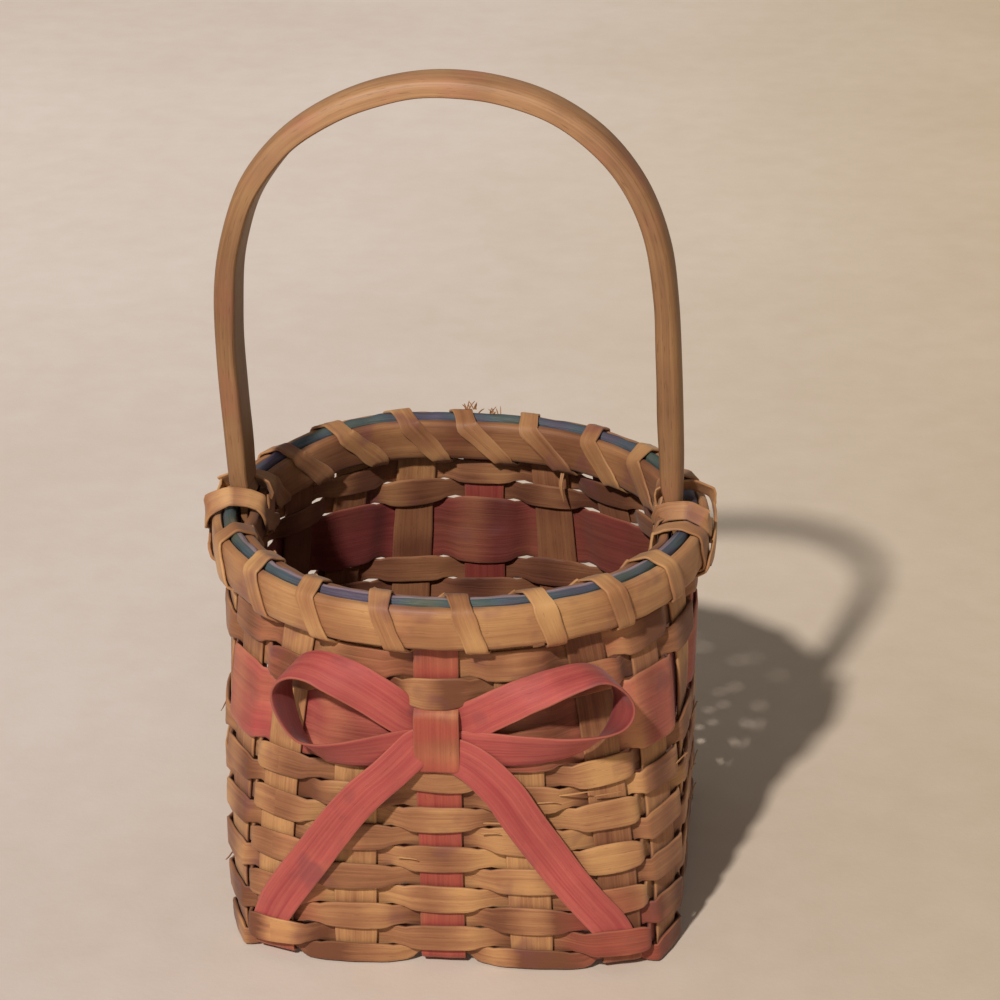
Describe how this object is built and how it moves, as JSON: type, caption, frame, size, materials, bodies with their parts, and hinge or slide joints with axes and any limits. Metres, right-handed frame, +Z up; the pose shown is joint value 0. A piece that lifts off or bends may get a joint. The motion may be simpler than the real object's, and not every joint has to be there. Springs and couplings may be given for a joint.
{
  "type": "woven basket",
  "caption": "Small square-based, round-rimmed basket of flat woven reed with a dyed band, a lashed rim, a fixed arched wood handle and a flat reed bow on its front.",
  "frame": {"origin": "middle of the base, on the surface that the basket stands on", "axes": "+Z up; -Y is the front with the bow; the handle spans the basket along X"},
  "size_m": [0.1424, 0.1419, 0.2335],
  "materials": {
    "reed": "satin, natural flat reed",
    "reed_pale": "satin, paler flat reed",
    "reed_dark": "satin, darker flat reed",
    "pink_reed": "matt, dyed pinkish red",
    "pink_stained_reed": "matt, unevenly dyed pinkish red",
    "dyed_filler": "matt, dyed blue, green and purple",
    "handle_wood": "satin, bent wood"
  },
  "bodies": {
    "root": {"stake_front_back_1": "reed", "stake_front_back_2": "reed", "stake_front_back_3": "pink_stained_reed", "stake_front_back_4": "reed", "stake_front_back_5": "reed", "stake_left_right_1": "reed", "stake_left_right_2": "reed", "stake_left_right_3": "pink_stained_reed", "stake_left_right_4": "reed", "stake_left_right_5": "reed", "weaver_row_01": "reed", "weaver_row_02": "reed_pale", "weaver_row_03": "reed", "weaver_row_04": "reed_pale", "weaver_row_05": "reed_pale", "weaver_row_06": "reed", "weaver_row_07": "reed_pale", "weaver_row_08": "reed_pale", "weaver_row_09": "reed", "weaver_row_10": "reed_pale", "pink_band": "pink_reed", "weaver_row_12": "reed", "weaver_row_13": "reed", "rim_row": "reed_dark", "outer_rim_hoop": "reed_pale", "inner_rim_hoop": "reed", "rim_filler": "dyed_filler", "rim_lashing": "reed_pale", "handle": "handle_wood", "handle_wrap_right": "reed_pale", "handle_wrap_left": "reed_pale", "bow_loops": "pink_reed", "bow_tail_left": "pink_reed", "bow_tail_right": "pink_reed"}
  },
  "joints": []
}
